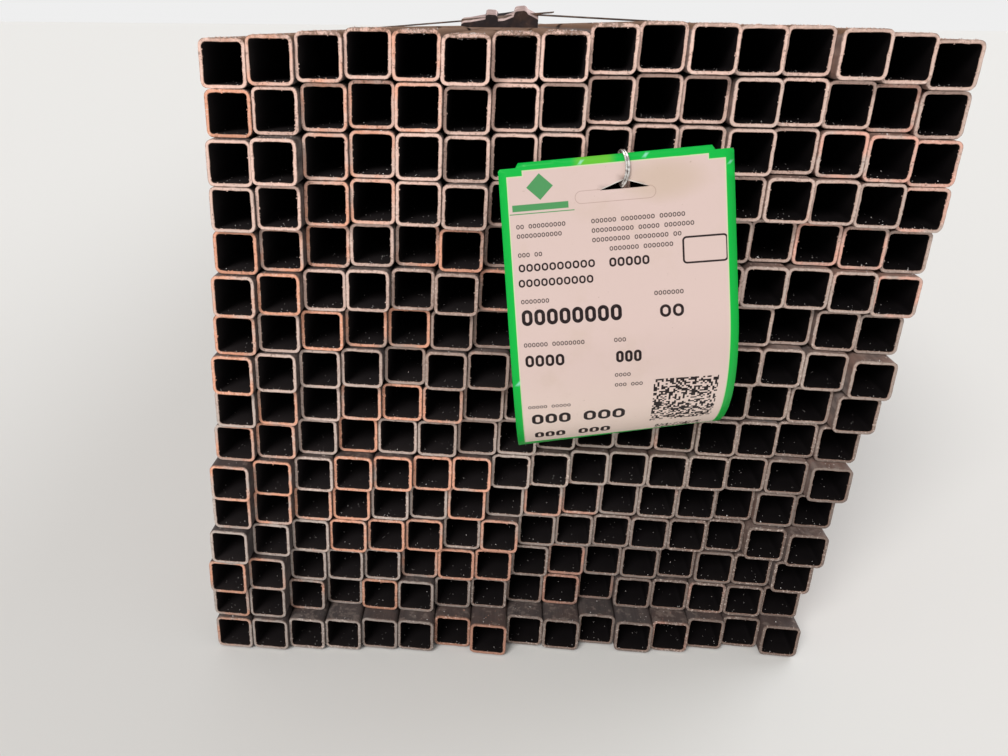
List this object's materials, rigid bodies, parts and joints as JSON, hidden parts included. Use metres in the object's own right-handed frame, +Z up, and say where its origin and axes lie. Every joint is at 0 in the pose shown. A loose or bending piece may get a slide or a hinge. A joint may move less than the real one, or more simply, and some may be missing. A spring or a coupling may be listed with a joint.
{
  "type": "bundle of square steel tubes",
  "caption": "Strapped bundle of long thin square steel tubes, stacked in columns and layers with uneven ends, crimped steel straps and a wired tag card.",
  "frame": {"origin": "bottom centre of the whole bundle, straps and tag included", "axes": "+Y along the tubes from the tagged ends to the far ends, +X across the bundle, +Z up from the floor"},
  "size_m": [0.3442, 6.0574, 0.341],
  "materials": {
    "bare_steel": "mill finish with a film of rust and saw burrs",
    "strap_steel": "dark waxed strapping with rust dust",
    "seal_steel": "dark pressed sheet, rubbed bright on the crimps",
    "tie_wire": "bright drawn wire",
    "tag_card": "glossy coated card with a green border"
  },
  "bodies": {
    "root": {"tube_layer_01": "bare_steel", "tube_layer_02": "bare_steel", "tube_layer_03": "bare_steel", "tube_layer_04": "bare_steel", "tube_layer_05": "bare_steel", "tube_layer_06": "bare_steel", "tube_layer_07": "bare_steel", "tube_layer_08": "bare_steel", "tube_layer_09": "bare_steel", "tube_layer_10": "bare_steel", "tube_layer_11": "bare_steel", "tube_layer_12": "bare_steel", "tube_layer_13": "bare_steel", "tube_layer_14": "bare_steel", "tube_layer_15": "bare_steel", "tube_layer_16": "bare_steel", "strap_1": "strap_steel", "strap_2": "strap_steel", "strap_3": "strap_steel", "strap_4": "strap_steel", "strap_seal_1": "seal_steel", "strap_seal_2": "seal_steel", "strap_seal_3": "seal_steel", "strap_seal_4": "seal_steel", "tag_card": "tag_card", "tag_wire": "tie_wire"}
  },
  "joints": []
}
